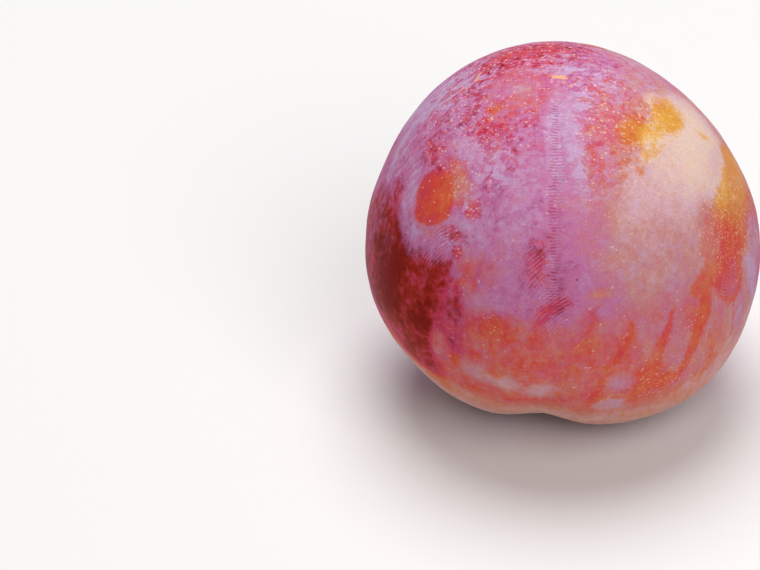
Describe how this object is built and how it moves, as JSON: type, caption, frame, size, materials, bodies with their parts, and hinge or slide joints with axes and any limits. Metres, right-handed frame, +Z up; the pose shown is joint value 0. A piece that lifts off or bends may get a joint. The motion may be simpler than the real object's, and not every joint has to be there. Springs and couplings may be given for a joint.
{
  "type": "plum",
  "caption": "Whole ripe dessert plum, round and slightly egg-shaped, with a suture down one side and a stem hollow that it stands on.",
  "frame": {"origin": "centre of the fruit's outline in plan, on the surface it stands on", "axes": "+Z up, from the stem end to the style scar on the crown; -Y out of the side with the suture; +X out of the right cheek as the suture side is faced"},
  "size_m": [0.0542, 0.0526, 0.0504],
  "materials": {
    "plum_skin": "thin glossy fruit skin, yellow to orange to dark red, under a waxy pale bloom that dulls it to a soft satin and is rubbed off in places"
  },
  "bodies": {
    "root": {"plum": "plum_skin"}
  },
  "joints": []
}
